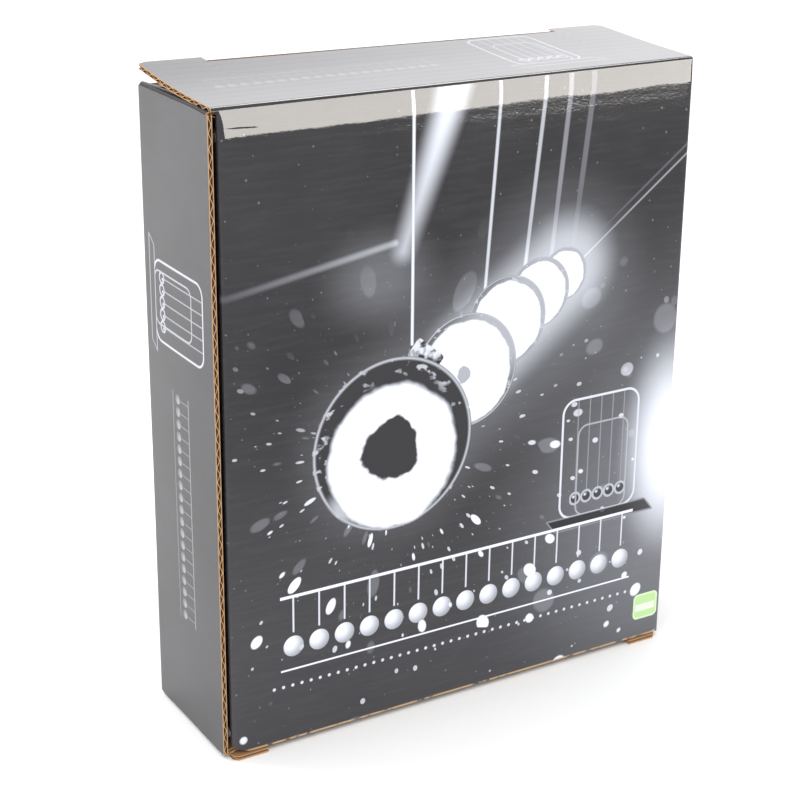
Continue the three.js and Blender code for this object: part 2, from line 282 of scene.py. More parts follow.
class Paint:
    """A material whose nodes are written as formulas. Positions are in millimetres."""

    def __init__(self, name, **values):
        self.material = bpy.data.materials.new(name)
        self.material.use_nodes = True
        self.tree = self.material.node_tree
        self.shader = self.tree.nodes["Principled BSDF"]
        for socket, value in values.items():
            self.shader.inputs[socket.replace("_", " ")].default_value = value
        scaled = self.node("ShaderNodeVectorMath", operation="SCALE")
        self.tree.links.new(self.node("ShaderNodeTexCoord").outputs["Object"], scaled.inputs[0])
        scaled.inputs["Scale"].default_value = 1 / MM
        self.place = Field(self, scaled.outputs[0])
        split = self.node("ShaderNodeSeparateXYZ")
        self.feed(split.inputs[0], self.place)
        self.x, self.y, self.z = (Field(self, output) for output in split.outputs)

    def node(self, kind, **settings):
        node = self.tree.nodes.new(kind)
        for key, value in settings.items():
            setattr(node, key, value)
        return node

    def feed(self, socket, value):
        if isinstance(value, Field):
            self.tree.links.new(value.socket, socket)
        else:
            socket.default_value = value

    def point(self, x, y, z=0.0):
        node = self.node("ShaderNodeCombineXYZ")
        for socket, value in zip(node.inputs, (x, y, z)):
            self.feed(socket, value)
        return Field(self, node.outputs[0])

    def noise(self, size, detail=2.0, at=None, roughness=0.5):
        """Smooth noise, about 0 to 1, with features about as wide as size."""
        node = self.node("ShaderNodeTexNoise")
        for name, value in (("Scale", 1 / size), ("Detail", detail), ("Roughness", roughness)):
            node.inputs[name].default_value = value
        self.feed(node.inputs["Vector"], at or self.place)
        return Field(self, node.outputs[0])

    def cells(self, size, at=None, dimensions="3D"):
        """The distance from the nearest cell's centre, and that cell's own number from 0 to 1."""
        node = self.node("ShaderNodeTexVoronoi", voronoi_dimensions=dimensions)
        node.inputs["Scale"].default_value = 1 / size
        self.feed(node.inputs["Vector"], at or self.place)
        split = self.node("ShaderNodeSeparateColor")
        self.tree.links.new(node.outputs["Color"], split.inputs[0])
        return Field(self, node.outputs["Distance"]) * size, Field(self, split.outputs[0])

    def blend(self, share, low, high):
        """The colour low where share is 0 and high where it is 1."""
        node = self.node("ShaderNodeMix", data_type="RGBA", clamp_factor=True)
        self.feed(node.inputs[0], share)
        for socket, colour in ((node.inputs[6], low), (node.inputs[7], high)):
            self.feed(socket, colour if isinstance(colour, Field) else (*colour, 1.0))
        return Field(self, node.outputs[2])

    def set(self, socket, value):
        self.feed(self.shader.inputs[socket], value)

    def colour(self, share, low, high):
        self.set("Base Color", self.blend(share, low, high))

    def bump(self, height_mm):
        """Raises the surface by a field in millimetres."""
        node = self.node("ShaderNodeBump")
        node.inputs["Distance"].default_value = MM
        self.feed(node.inputs["Height"], height_mm)
        self.tree.links.new(node.outputs[0], self.shader.inputs["Normal"])


def distance(a, b):
    return (a * a + b * b).math("SQRT")


def to_segment(u, v, start, end):
    """The distance from a straight line, and how far along it the nearest point is, from 0 to 1."""
    du, dv = end[0] - start[0], end[1] - start[1]
    across, up = u - start[0], v - start[1]
    along = ((across * du + up * dv) * (1 / (du * du + dv * dv))).most(0).least(1)
    return distance(across - along * du, up - along * dv), along


def stroke(u, v, start, end, half_width, soft=0.15):
    """A straight line drawn with a round pen."""
    return to_segment(u, v, start, end)[0].fade(half_width + soft, half_width - soft)


def outline(gap, half_width, soft=0.15):
    """A line drawn where a distance field is 0."""
    return abs(gap).fade(half_width + soft, half_width - soft)


def to_rounded_box(u, v, half_u, half_v, radius):
    """The distance from a rounded rectangle's edge, negative inside it."""
    across, up = abs(u) - (half_u - radius), abs(v) - (half_v - radius)
    return distance(across.most(0), up.most(0)) + across.most(up).least(0) - radius


# ---- the artwork ----
def picture_of_cradle(u, v, size):
    """A line drawing of a Newton's cradle about the origin, size wide: how light and how dark it is."""
    half, pen = size * 0.38, size * 0.011
    base, beam = -size * 0.5, size * 0.52
    above_base = v.fade(base - pen, base + pen)

    def arch(shift, half_width, top, radius):
        return to_rounded_box(u - shift, v - (base + top) / 2, half_width, (top - base) / 2, radius)

    lines = outline(arch(0, half, beam, size * 0.12), pen) * above_base
    inner = arch(size * 0.03, half * 0.66, beam * 0.55, size * 0.09)
    lines = lines.most(outline(inner, pen * 0.8) * above_base * 0.7)
    pitch = size * 0.115
    row = abs(u).fade(pitch * 2.5 + pen, pitch * 2.5 - pen)
    cell = (u + pitch / 2).math("WRAP", pitch, 0.0) - pitch / 2
    ball_height = base + size * 0.16
    ball = distance(cell, v - ball_height)
    hanging = v.fade(ball_height, ball_height + pen) * v.fade(beam, beam - pen)
    strings = outline(cell, pen * 0.6) * hanging * 0.55
    shine = distance(cell + pitch * 0.12, v - ball_height - pitch * 0.14).fade(pitch * 0.2, pitch * 0.05)
    balls = (outline(ball - pitch * 0.43, pen) * 0.8).most(shine)
    lines = lines.most(strings * row).most(balls * row)
    slanted, raised = u + (v - base) * 0.8, v - base + size * 0.05
    slab = to_rounded_box(slanted, raised, size * 0.5, size * 0.055, size * 0.01)
    lines = lines.most(outline(slab, pen * 0.8) * 0.55)
    dark = slab.fade(pen, 0).most(ball.fade(pitch * 0.43, pitch * 0.38) * row * 0.8)
    return lines, dark


def pendulum_row(u, v, half_length, height):
    """The ornament that stands where a title would: a row of balls hung from a rule, over a second rule."""
    pitch = height * 0.36
    whole = (round(half_length / pitch) - 0.5) * pitch
    inside = abs(u).fade(whole + 0.1, whole - 0.1)
    cell = (u + pitch / 2).math("WRAP", pitch, 0.0) - pitch / 2
    up, radius = v + height * 0.18, pitch * 0.4
    ball = distance(cell, up)
    balls = ball.fade(radius, radius * 0.94)
    shade = distance(cell + radius * 0.35, up - radius * 0.35).fade(radius * 1.5, radius * 0.2)
    strings = outline(cell, height * 0.012) * v.fade(0, height * 0.02) * v.fade(height * 0.5, height * 0.49)
    rules = outline(v - height * 0.5, height * 0.02).most(outline(v + height * 0.5, height * 0.012))
    return (balls * (shade * 0.6 + 0.4)).most(strings * 0.8).most(rules) * inside


def ripples(paint, at):
    """Faint streaks in the print, from 0 to 1."""
    return paint.noise(1.7, 3, at, 0.6).fade(0.42, 0.72)


def flying_drops(paint, u, v, size, largest, seed):
    """Bright out-of-focus drops that fly out from the origin, drawn out along their way."""
    reach = distance(u, v)
    turn = u.math("ARCTAN2", v)
    gap, number = paint.cells(size, paint.point(turn * 60 + seed, reach * 0.55), "2D")
    radius = number * number * number * largest
    return (radius - gap).fade(0, largest * 0.2) * (number * 0.6 + 0.4)


def chrome_ball(paint, u, v, centre, radius, patch, glow):
    """A polished ball under bright lights: its brightness and its mask. patch is the size of the dark
    reflection in its middle and glow that of the bright reflection about it, from 0 to 1."""
    across, up = (u - centre[0]) * (1 / radius), (v - centre[1]) * (1 / radius)
    reach = distance(across, up)
    ragged = paint.noise(0.4, 3, paint.point(across, up, centre[0])) - 0.5
    dark_middle = (distance(across + 0.04, up + 0.06) + ragged * 0.3).fade(patch, patch + 0.04)
    bright = (distance(across * 1.04, up + 0.97 - glow) + ragged * 0.16).fade(glow + 0.02, glow - 0.06)
    sparks = paint.noise(0.16, 4, paint.point(across, up * 1.4, centre[1])).fade(0.58, 0.66)
    rim = outline(reach - 0.965, 0.012, 0.02) * 0.6
    low_glow = distance(across + 0.62, up + 0.62).fade(0.3, 0.05) * 0.5
    inside = (bright * dark_middle).most(sparks * reach.fade(0.7, 0.9) * 0.55).most(low_glow)
    return inside.most(rim) + 0.02, reach.fade(1.0, 0.975)


def cradle_photograph(paint, u, v):
    """The picture on the front: five polished balls on their lines, flying drops and a beam of light,
    lightened towards the bottom by a painted reflection of the lit floor.
    u is the distance from the left edge and v the height."""
    big = (63, 102)
    out_u, out_v = u - big[0], v - big[1]

    def burst(size, largest, seed):
        return flying_drops(paint, out_u, out_v, size, largest, seed)

    drops = burst(9, 2.1, 1.0) * v.fade(150, 60)
    drops = drops.most(burst(5.5, 0.8, 5.0) * v.fade(160, 90) * 0.6)
    blurred, specks = burst(13, 4.5, 9.0) * 0.12, burst(3.4, 0.26, 30.0) * 0.12
    streaks = ripples(paint, paint.point(paint.x * 0.1, paint.y, paint.z)) * 0.009
    # v.fade(150, 10) lightens the ink towards the bottom: a painted reflection of the lit floor in front of
    # the carton.
    light = paint.noise(60, 3) * 0.03 + v.fade(150, 10) * 0.035 + streaks + specks
    light = light + (drops + blurred) * v.fade(185, 130)
    light = light + distance(u - 185, (v - 62) * 0.8).fade(95, 5) * 0.16
    light = light + to_segment(u, v, big, (128, 150))[0].fade(44, 8) * 0.12
    beam, along = to_segment(u, v, (86, 222), (66, 168))
    light = light + (beam + along * 2.5).fade(9, 0.5) * (0.95 - along * 0.45)
    light = light + distance((u - 58) * 0.8, v - 160).fade(22, 2) * 0.12
    streak, along = to_segment(u, v, (2, 161), (63, 171))
    light = light + streak.fade(1.8, 0.1) * (along * 0.25 + 0.06)
    light = light + distance(u - 182, (v - 80) * 0.53).fade(27, 4) * 0.9
    lines = stroke(u, v, (69.6, 136), (69.6, 222), 0.55, 0.3) * 0.85
    for foot, head, half_width, strength in (
        ((97, 140), (103, 222), 0.6, 0.65), ((113, 150), (121, 222), 0.75, 0.5),
        ((124, 155), (131, 222), 0.95, 0.25), ((133, 158), (140.4, 222), 1.1, 0.15),
        ((135, 157), (183, 192), 0.4, 0.12), ((137, 155), (183, 188.6), 0.3, 0.4),
    ):
        lines = lines.most(stroke(u, v, foot, head, half_width, 0.35) * strength)
    bloom = to_segment(u, v, (93, 126), (131, 153))[0].fade(24, 8) * 0.45
    light = light.most(lines) + bloom
    for centre, radius, patch in (
        ((130, 151), 9.5, -0.2), ((120, 146), 12.5, -0.1), ((107, 138), 16, -0.05), ((91, 123), 20.5, 0.08),
    ):
        shine, mask = chrome_ball(paint, u, v, centre, radius, patch, 0.93)
        light = shine.most(bloom).over(light, mask)
    clasp_u, clasp_v = u - 75, v - 131
    clasp = to_rounded_box(clasp_u * 0.77 + clasp_v * -0.64, clasp_u * 0.64 + clasp_v * 0.77, 6.5, 3.6, 1)
    light = (paint.noise(3, 2).fade(0.35, 0.6) * 0.8).over(light, clasp.fade(0.2, -0.2))
    shine, mask = chrome_ball(paint, u, v, big, 31, 0.33, 0.84)
    return shine.over(light, mask)


def panel_artwork(paint, u, v):
    """The artwork of the front and the back, lightened towards the bottom by a painted reflection of the lit
    floor. u is the distance from the left edge and v the height.
    """
    light = cradle_photograph(paint, u, v)
    lines, dark = picture_of_cradle(u - 149, v - 81, 44)
    light = (lines * 0.8).over(light * (1 - dark * 0.9), lines)
    light = light.most(pendulum_row(u - 93, v - 42, 76, 27))
    dots = distance((u + 1.75).math("WRAP", 3.5, 0.0) - 1.75, v - 22.5).fade(0.75, 0.45)
    return light.most(dots * abs(u - 93).fade(77, 76.5) * 0.8)


DARK_INK, LIGHT_INK = (0.007, 0.005, 0.006), (0.80, 0.83, 0.92)
KRAFT_LIGHT, KRAFT_DARK, KRAFT_PALE = (0.42, 0.22, 0.092), (0.16, 0.073, 0.027), (0.56, 0.37, 0.20)


def rubbed_rim(paint, height):
    """Where the print is rubbed off along a raw edge at the bottom."""
    return paint.z.fade(height + 0.9, height + 0.3) * paint.noise(4, 3).fade(0.35, 0.5)


def print_surface(paint, light, colour=None, gloss=0.035, grain=0.006):
    """Gloss varnish over dark ink on board, worn to the paper along the carton's corners."""
    ink = paint.blend(light, DARK_INK, LIGHT_INK)
    if colour:
        ink = colour(ink)
    corner_x = (RIGHT - abs(paint.x)).most(0)
    corner_y = (BACK - abs(paint.y)).most(0)
    corner_z = (TOP / 2 - abs(paint.z - TOP / 2)).most(0)
    near_edge = (corner_x + corner_y).least(corner_x + corner_z).least(corner_y + corner_z)
    rubbed = paint.noise(1.6, 4, roughness=0.7) * near_edge.fade(1.6, 0.1)
    worn = rubbed.fade(0.56, 0.66)
    paint.colour(worn * 0.75, ink, KRAFT_PALE)
    paint.set("Roughness", paint.noise(9, 3) * 0.05 + gloss + worn * 0.5)
    paint.bump(paint.noise(0.8, 4) * grain + paint.noise(14, 2) * 0.02 - worn * 0.02)
    return paint.material


def front_print():
    paint = Paint("printed_front_painted_reflection", IOR=1.38)
    u, v = paint.x - LEFT, paint.z

    def sticker(ink):
        label = to_rounded_box(u - 174.5, v - 14.5, 5.6, 5.2, 2)
        stripe = outline(v - 14, 1.4, 0.2) * label.fade(-1, -1.3)
        green = paint.blend(stripe * 0.8, (0.48, 0.70, 0.33), (0.82, 0.91, 0.76))
        rim = paint.blend(label.fade(-0.9, -0.6), green, (0.62, 0.80, 0.50))
        stuck = paint.blend(label.fade(0.1, -0.1), ink, rim)
        return paint.blend(rubbed_rim(paint, FRONT_BOTTOM), stuck, KRAFT_PALE)

    return print_surface(paint, panel_artwork(paint, u, v), sticker, grain=0.016)


def side_print():
    paint = Paint("printed_sides", IOR=1.42)
    lines, _ = picture_of_cradle(paint.z - 150, paint.y * -1, 36)
    row = pendulum_row(paint.z - 81, paint.y * -1, 44, 12)
    streaks = ripples(paint, paint.point(paint.x, paint.y * 0.1, paint.z)) * 0.01
    return print_surface(paint, (lines * 0.6).most(row * 0.3) + paint.noise(50, 3) * 0.05 + streaks)


def back_print():
    paint = Paint("printed_back_painted_reflection", IOR=1.42)
    return print_surface(paint, panel_artwork(paint, paint.x * -1 + RIGHT, paint.z))


def lid_print():
    paint = Paint("printed_lids", IOR=1.42)
    lines, _ = picture_of_cradle(paint.x - 41, paint.y - 3, 34)
    row = pendulum_row(paint.x + 38, paint.y + 2, 43, 12)
    return print_surface(paint, (lines * 0.3).most(row * 0.1) + paint.noise(40, 3) * 0.03)


def plain_print():
    paint = Paint("printed_creases", IOR=1.3)
    cracks = paint.noise(0.9, 4, paint.point(paint.x * 0.35, paint.y, paint.z), 0.7).fade(0.6, 0.72)
    return print_surface(paint, cracks * 0.08 + 0.005, gloss=0.35)


def kraft_board():
    paint = Paint("brown_kraft", Roughness=0.85, IOR=1.45)
    fibres = paint.noise(0.9, 5, paint.point(paint.x * 0.16, paint.y * 0.16, paint.z), 0.65)
    clouds = paint.noise(11, 4)
    flecks = paint.noise(0.5, 2).fade(0.68, 0.74)
    colour = paint.blend(fibres * 0.6 + clouds * 0.4, KRAFT_DARK, KRAFT_LIGHT)
    paint.colour(flecks * 0.5, colour, (0.12, 0.06, 0.03))
    paint.bump(fibres * 0.05 + paint.noise(0.3, 2) * 0.02)
    return paint.material


def grained(name, size, detail, dark, light, rough=None, bump=0, **values):
    """A material whose colour follows one noise, and whose roughness and surface can follow it too."""
    paint = Paint(name, **values)
    grain = paint.noise(size, detail)
    paint.colour(grain, dark, light)
    if rough:
        paint.set("Roughness", grain * rough[0] + rough[1])
    if bump:
        paint.bump(grain * bump)
    return paint.material


def liner_edges():
    paint = Paint("raw_liner_edge", Roughness=0.9)
    fibres = paint.noise(0.4, 4, roughness=0.7)
    paint.colour(fibres, (0.34, 0.18, 0.08), KRAFT_PALE)
    paint.bump(fibres * 0.05)
    return paint.material


def bead_foam():
    paint = Paint("bead_foam", Roughness=0.9, Subsurface_Weight=0.15)
    paint.shader.inputs["Subsurface Radius"].default_value = (0.004, 0.004, 0.004)
    gap, number = paint.cells(3.2)
    seam = gap.fade(1.2, 2.0)
    colour = paint.blend(seam, (0.90, 0.90, 0.88), (0.72, 0.72, 0.70))
    paint.colour(number * 0.2, colour, (0.97, 0.97, 0.96))
    paint.bump(seam * -0.25 + paint.noise(0.8, 2) * 0.05)
    return paint.material


def polished_chrome():
    paint = Paint("polished_chrome", Metallic=1.0)
    haze = paint.noise(2.5, 4)
    paint.colour(haze, (0.74, 0.75, 0.77), (0.84, 0.85, 0.87))
    paint.set("Roughness", haze * 0.06 + 0.02)
    paint.bump(paint.noise(6, 2) * 0.004)
    return paint.material


def lacquered_wood():
    paint = Paint("black_lacquer", IOR=1.5, Coat_Weight=0.6, Coat_Roughness=0.05)
    grain = paint.noise(1.4, 5, paint.point(paint.x * 0.06, paint.y, paint.z), 0.6)
    paint.colour(grain, (0.008, 0.008, 0.009), (0.022, 0.019, 0.018))
    paint.set("Roughness", grain * 0.12 + 0.16)
    paint.bump(grain * 0.03 + paint.noise(20, 2) * 0.05)
    return paint.material


PRINT_FRONT, PRINT_SIDE, PRINT_BACK = front_print(), side_print(), back_print()
PRINT_LID, PRINT_CREASE = lid_print(), plain_print()
KRAFT, LINER_EDGE = kraft_board(), liner_edges()
KIT_MATERIALS = {
    "chrome": polished_chrome(),
    "black_lacquer": lacquered_wood(),
    "foam": bead_foam(),
    "foot_rubber": grained("foot_rubber", 0.5, 3, (0.015, 0.015, 0.015), (0.045, 0.044, 0.042),
                           bump=0.06, Roughness=0.8),
    "collar_plastic": grained("collar_plastic", 0.35, 2, (0.010, 0.010, 0.011), (0.03, 0.03, 0.032),
                              (0.2, 0.3), 0.015, IOR=1.46),
    "nylon_line": grained("nylon_line", 1.5, 2, (0.72, 0.76, 0.82), (0.90, 0.92, 0.95),
                          (0.15, 0.15), IOR=1.53, Transmission_Weight=0.35),
}


# ---- corrugated board ----
class Route:
    """The outer face of a board seen from its edge, as straight runs and round bends. A heading of 0
    points up the second axis, a bend turns it towards the first, and the board lies on that side."""

    def __init__(self, start, heading=0.0):
        self.stretches = []
        self.length, self.end, self.heading = 0.0, start, heading

    def _add(self, length, curve):
        self.stretches.append((self.length, length, self.end, self.heading, curve))
        self.end = self._on(self.stretches[-1], length, 0)
        self.heading += curve * length
        self.length += length
        return self

    def run(self, length):
        return self._add(length, 0.0)

    def bend(self, radius, turn):
        return self._add(radius * turn, 1 / radius)

    @staticmethod
    def _on(stretch, along, depth):
        _, _, start, heading, curve = stretch
        now = heading + curve * along
        if curve:
            radius = 1 / curve
            x = start[0] + radius * (cos(heading) - cos(now))
            y = start[1] - radius * (sin(heading) - sin(now))
        else:
            x, y = start[0] + along * sin(heading), start[1] + along * cos(heading)
        return x + depth * cos(now), y - depth * sin(now)

    def at(self, along, depth):
        stretch = next((s for s in self.stretches if along <= s[0] + s[1] + 1e-9), self.stretches[-1])
        return self._on(stretch, along - stretch[0], depth)


def flute_wave(side):
    """One face of the fluted medium, which swings between the two liners."""
    middle = (OUTER_LINER + BOARD - INNER_LINER) / 2
    swing = (BOARD - OUTER_LINER - INNER_LINER - MEDIUM) / 2

    def depth(_, v):
        return middle + side * MEDIUM / 2 + swing * sin(v * 2 * pi / FLUTE_PITCH)

    return depth


def board(name, columns, rows, span, place, ink, few_columns=None):
    """Single-wall board as two pieces: its printed outer liner, and its flutes on their inner liner."""
    printed = Patchwork()
    printed.sheet(columns, rows, span, place, (0, OUTER_LINER), (0, 1, 2))
    core = Patchwork()
    few = few_columns or columns
    length = max(span(u)[1] - span(u)[0] for u in few)
    flute_rows = spread(0, 1, max(FLUTE_STEPS, round(length / FLUTE_PITCH * FLUTE_STEPS)))
    core.sheet(few, flute_rows, span, place, (flute_wave(-1), flute_wave(1)), (0, 0, 1))
    core.sheet(columns, rows, span, place, (BOARD - INNER_LINER, BOARD), (0, 0, 1))
    return (
        printed.finish(name + "_print", [ink, KRAFT, LINER_EDGE]),
        core.finish(name + "_core", [KRAFT, LINER_EDGE]),
    )


def crease(name, columns, rows, span, place, ink):
    """A scored and crushed strip of board, which bends between its two neighbours."""
    printed, core = Patchwork(), Patchwork()

    def crushed(u, v):
        low, high = span(u)
        return BOARD * (1 - CRUSH * min(1, 3 * sin(pi * (v - low) / (high - low))))

    printed.sheet(columns, rows, span, place, (0, OUTER_LINER), (0, 1, 2))
    core.sheet(columns, rows, span, place, (OUTER_LINER, crushed), (0, 0, 0))
    return printed.finish(name + "_print", [ink, KRAFT, LINER_EDGE]), core.finish(name + "_core", [KRAFT])


def dress(pieces, nodes=()):
    """Hides the CAD nodes that a printed liner and its core stand for."""
    for piece, slot in zip(pieces, ("printed_board", "brown_board")):
        if nodes:
            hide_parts(*nodes)


def ride(pieces, body, *nodes):
    dress(pieces, nodes)
    for piece in pieces:
        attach(piece, body)


def bend_between(pieces, body_a, body_b, start, end):
    dress(pieces)
    for piece in pieces:
        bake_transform(piece)
        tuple(start)
        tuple(end)


# ---- the sleeve: four panels and the glue tab, as one strip wrapped round the carton ----
QUARTER = pi / 2
sleeve = Route((LEFT, LEFT_RAW_EDGE + SEAM_OPENS))
sleeve.run(BACK - BEND_RADIUS - sleeve.end[1])
LEFT_END = sleeve.length
sleeve.bend(BEND_RADIUS, QUARTER).run(WIDTH - 2 * BEND_RADIUS)
BACK_END = sleeve.length
sleeve.bend(BEND_RADIUS, QUARTER).run(DEPTH - 2 * BEND_RADIUS)
RIGHT_END = sleeve.length
sleeve.bend(BEND_RADIUS, QUARTER)
FRONT_START = sleeve.length
sleeve.run(RIGHT - SEAM - 2 * BEND_RADIUS)
FRONT_STOP = sleeve.length
sleeve.bend(BEND_RADIUS, QUARTER)
FRONT_END = sleeve.length
sleeve.run(TAB_END - FRONT - BEND_RADIUS)

SIDE_LOW, SIDE_HIGH = DUST_FACE + SIDE_BEND, TOP - DUST_FACE - SIDE_BEND


def roll_slope(below_top, x):
    """How far the top of the front panel leans back, as a slope."""
    reach = ROLL_HEIGHT * (1 - 0.08 * x / RIGHT + 0.08 * wobble(x, 0, 26) + 0.05 * wobble(x, 0, 7, 3))
    share = (reach - below_top) / (reach - ROLL_TOP)
    if share <= 0:
        return 0.0
    onset = smooth_step(share / 0.25)
    return tan(ROLL_START + (ROLL_END - ROLL_START) * share) * onset


@lru_cache(maxsize=None)
def roll_back(below_top, x):
    """How far back the front panel's face stands near its top crease, which pulls it inwards."""
    if below_top >= ROLL_HEIGHT * 1.3:
        return 0.0
    steps = 24
    width = (ROLL_HEIGHT * 1.3 - below_top) / steps
    return sum(roll_slope(below_top + (i + 0.5) * width, x) * width for i in range(steps))


def dent(x, z, centre, length, width, depth, turn):
    """A crease knocked into the board: a narrow trough about a short line."""
    across = (x - centre[0]) * cos(turn) + (z - centre[1]) * sin(turn)
    up = (z - centre[1]) * cos(turn) - (x - centre[0]) * sin(turn)
    return depth * exp(-((up / width) ** 2)) * smooth_step(1 - abs(across) / length)


def front_recess(x, z):
    """How far the front panel's face stands back from its CAD plane: rolled at the top, bulging in the
    middle, with the flutes showing through and two knocks near its left end."""
    middle = sin(pi * (x - LEFT) / WIDTH) * sin(pi * clamp(z / TOP)) ** 0.8
    flutes = WASHBOARD * cos(z * 2 * pi / FLUTE_PITCH) * (1 + 0.4 * wobble(x, z, 40, 7))
    waves = 0.03 * wobble(x, z, 40, 11)
    knocks = dent(x, z, (LEFT + 10, TOP - 6.8), 9, 0.35, 0.13, -0.05)
    knocks += dent(x, z, (LEFT + 9, 5), 9, 0.7, 0.2, 0.35)
    return roll_back(TOP - z, x) - BULGE * middle + flutes + waves + knocks


def front_place(u, v, depth):
    x, y = sleeve.at(u, depth)
    held = smooth_step((u - RIGHT_END) / (FRONT_START - RIGHT_END))
    held *= smooth_step((FRONT_END - u) / (FRONT_END - FRONT_STOP))
    return x, y + held * front_recess(x, v), v


def seam_spring(y):
    """How far the left panel springs outwards at its raw front edge, where it is glued at the seam."""
    return SEAM_SPRING * (1 - clamp((y - FRONT) / DEPTH)) ** 2


def bowed(low, high):
    """A place on the sleeve whose panel bows outwards between two points along it."""

    def place(u, v, depth):
        share = clamp((u - low) / (high - low))
        bow = SIDE_BOW * sin(pi * share) * sin(pi * clamp(v / TOP))
        flutes = WASHBOARD * cos(v * 2 * pi / FLUTE_PITCH)
        held = smooth_step(share / 0.05) * smooth_step((1 - share) / 0.05)
        waves = 0.03 * wobble(u, v, 40, 5)
        x, y = sleeve.at(u, depth - bow + held * (flutes + waves))
        if u <= LEFT_END:
            x -= seam_spring(y)
        return x, y, v

    return place


def fine_rows(low, high, step=FLUTE_PITCH / 8):
    return spread(0, 1, round((high - low) / step))


@lru_cache(maxsize=None)
def side_top(y, end, side):
    """How far a side panel's crease stands proud of its dust flap, less where the lid holds it down."""
    risen = smooth_step((y - FRONT) / HUMP_SETTLES)
    return SIDE_HUMP[end, side] * (HUMP_FRONT_SHARE + (1 - HUMP_FRONT_SHARE) * risen)


def front_span(u):
    """The front panel's raw bottom edge is rounded off at its left corner."""
    round_off = clamp((u - (FRONT_STOP - 6)) / 8)
    return FRONT_BOTTOM + CORNER_ROUNDING * round_off ** 2, TOP - ROLL_TOP


def tab_span(u):
    taper = TAB_TAPER * max(0, u - FRONT_END) / (sleeve.length - FRONT_END)
    low, high = cad("glue_tab")[0].z, cad("glue_tab")[1].z
    return low + taper, high - taper


def panel_columns(stops, bend_steps, flat_steps):
    """Columns over bends and flats in turn, between stops, starting with a bend unless it has no width."""
    columns = [stops[0]]
    for i, (low, high) in enumerate(zip(stops, stops[1:])):
        if high > low:
            columns += spread(low, high, flat_steps if i % 2 else bend_steps)[1:]
    return columns


def make_sleeve():
    rows = fine_rows(0, TOP)
    strained = 1 - STRAINED_TOP / TOP
    front_rows = [t for t in rows if t < strained] + spread(strained, 1, 56)
    stops = (RIGHT_END, FRONT_START, FRONT_STOP, FRONT_END)
    columns, few = panel_columns(stops, 6, 88), panel_columns(stops, 5, 12)
    front = board("carton_front", columns, front_rows, front_span, front_place, PRINT_FRONT, few)
    ride(front, "carton", "front_panel")

    def tab_place(u, v, depth):
        return *sleeve.at(u, depth), v

    tab_columns = spread(FRONT_END, sleeve.length, 4)
    tab = board("carton_glue_tab", tab_columns, spread(0, 1, 60), tab_span, tab_place, PRINT_CREASE)
    ride(tab, "carton", "glue_tab")

    def back_span(_):
        return BEND_RADIUS, BACK_TOP

    def side_span(u):
        y, side = sleeve.at(u, 0)[1], "left" if u <= LEFT_END else "right"
        return SIDE_LOW - side_top(y, "bottom", side), SIDE_HIGH + side_top(y, "top", side)

    panels = (
        ("carton_left", 0, LEFT_END, side_span, PRINT_SIDE, "left_panel", 30),
        ("carton_back", LEFT_END, BACK_END, back_span, PRINT_BACK, "back_panel", 80),
        ("carton_right", BACK_END, RIGHT_END, side_span, PRINT_SIDE, "right_panel", 30),
    )
    for name, low, high, span, ink, node, count in panels:
        straight = low + (QUARTER * BEND_RADIUS if low else 0)
        stops = (low, straight, high)
        columns, few = panel_columns(stops, 6, count), panel_columns(stops, 5, 8)
        ride(board(name, columns, rows, span, bowed(straight, high), ink, few), "carton", node)


# ---- lids and flaps ----
# A closure's own axes: x as in the frame, across from its lid's hinge, and out of the carton.
def top_frame(x, across, out):
    return x, FRONT + across, TOP + out


def bottom_frame(x, across, out):
    return x, BACK - across, -out


def lid_angle(x, ajar):
    return ajar * (1 - TWIST / LID_AJAR * x / RIGHT)


@lru_cache(maxsize=None)
def lid_route(x, ajar, tucked):
    """The route over one closure at x: the bend at the hinge, the lid, the tuck bend and the tuck flap.
    It comes with the lengths along it at which the hinge bend and the lid end."""
    angle = lid_angle(x, ajar)
    if ajar:
        start, lean = (roll_back(ROLL_TOP, x), -ROLL_TOP), atan(roll_slope(ROLL_TOP, x))
    else:
        start, lean = (0.0, -BEND_RADIUS), 0.0
    ahead, flat = (sin(lean), cos(lean)), (cos(angle), sin(angle))
    tangent = (start[1] * flat[0] - start[0] * flat[1]) / (ahead[0] * flat[1] - ahead[1] * flat[0])
    turn = QUARTER - lean - angle
    radius = tangent / tan(turn / 2)
    route = Route(start, lean).bend(radius, turn)
    hinge_end = route.length
    used = hypot(*route.end)
    if not tucked:
        return route.run(LID_TIP - used + 2), hinge_end, hinge_end + LID_TIP - used
    lid_length = LID_CREASE - BEND_RADIUS * tan(TUCK_TURN / 2) - used
    route.run(lid_length).bend(BEND_RADIUS, TUCK_TURN).run(TUCK_REACH)
    return route, hinge_end, hinge_end + lid_length


def lid_sag(x, share):
    """The ajar lid bellies down a little between its two creases, more at its left end."""
    return LID_SAG * sin(pi * clamp(share)) * (1 - 0.5 * x / RIGHT)


